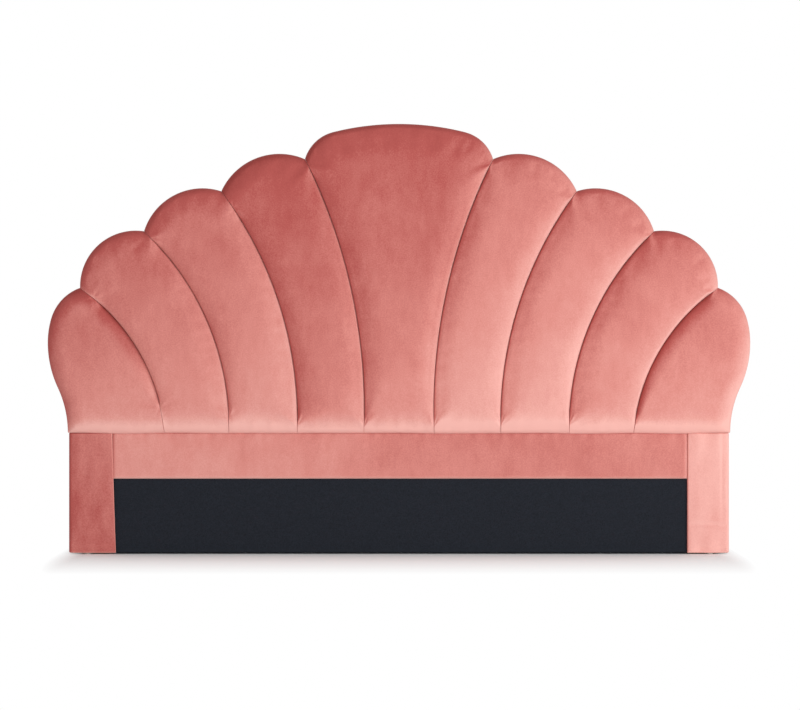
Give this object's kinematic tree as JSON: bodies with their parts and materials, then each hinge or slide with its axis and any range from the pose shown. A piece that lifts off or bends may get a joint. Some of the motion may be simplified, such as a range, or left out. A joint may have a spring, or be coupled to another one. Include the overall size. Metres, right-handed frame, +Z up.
{
  "type": "upholstered headboard",
  "caption": "Floor-standing upholstered headboard: a scallop-shell fan of padded velvet channels over a low base with two covered legs, a velvet band and a black cloth panel.",
  "frame": {"origin": "on the floor, under the middle of the bounding box", "axes": "+X to the right as seen from the bed, -Y towards the bed, +Z up"},
  "size_m": [1.96, 0.095, 1.2],
  "materials": {
    "velvet": "short-pile velvet, coral pink",
    "foam": "open-cell upholstery foam",
    "plywood": "raw birch plywood",
    "timber": "planed softwood, unfinished",
    "pull_strip": "stiff sewn-in strip",
    "black_cloth": "dense blue-black non-woven cloth with a fine grain",
    "dust_cloth": "thin spun-bonded dust cloth, matt black",
    "glide_plastic": "moulded, slightly worn",
    "screw_steel": "yellow-zinc plated",
    "staple_steel": "galvanised wire"
  },
  "bodies": {
    "root": {"band_cover": "velvet", "band_pad": "foam", "base_board": "plywood", "bottom_rail": "timber", "centre_stile": "timber", "crown_rail": "timber", "dust_cloth": "dust_cloth", "fan_panel": "plywood", "front_cloth": "black_cloth", "glides": "glide_plastic", "inner_stile_left": "timber", "inner_stile_right": "timber", "joint_rail": "timber", "lap_screws": "screw_steel", "leg_cover_left": "velvet", "leg_cover_right": "velvet", "leg_pad_left": "foam", "leg_pad_right": "foam", "outer_stile_left": "timber", "outer_stile_right": "timber", "panel_screws": "screw_steel", "petal_cover_1_left": "velvet", "petal_cover_1_right": "velvet", "petal_cover_2_left": "velvet", "petal_cover_2_right": "velvet", "petal_cover_3_left": "velvet", "petal_cover_3_right": "velvet", "petal_cover_4_left": "velvet", "petal_cover_4_right": "velvet", "petal_cover_centre": "velvet", "petal_foam_1_left": "foam", "petal_foam_1_right": "foam", "petal_foam_2_left": "foam", "petal_foam_2_right": "foam", "petal_foam_3_left": "foam", "petal_foam_3_right": "foam", "petal_foam_4_left": "foam", "petal_foam_4_right": "foam", "petal_foam_centre": "foam", "post_left": "timber", "post_right": "timber", "pull_strips_1": "pull_strip", "pull_strips_2": "pull_strip", "pull_strips_3": "pull_strip", "pull_strips_4": "pull_strip", "rim_1_left": "plywood", "rim_1_right": "plywood", "rim_2_left": "plywood", "rim_2_right": "plywood", "rim_3_left": "plywood", "rim_3_right": "plywood", "rim_4_left": "plywood", "rim_4_right": "plywood", "rim_centre": "plywood", "staples": "staple_steel", "waist_rail": "timber"}
  },
  "joints": []
}
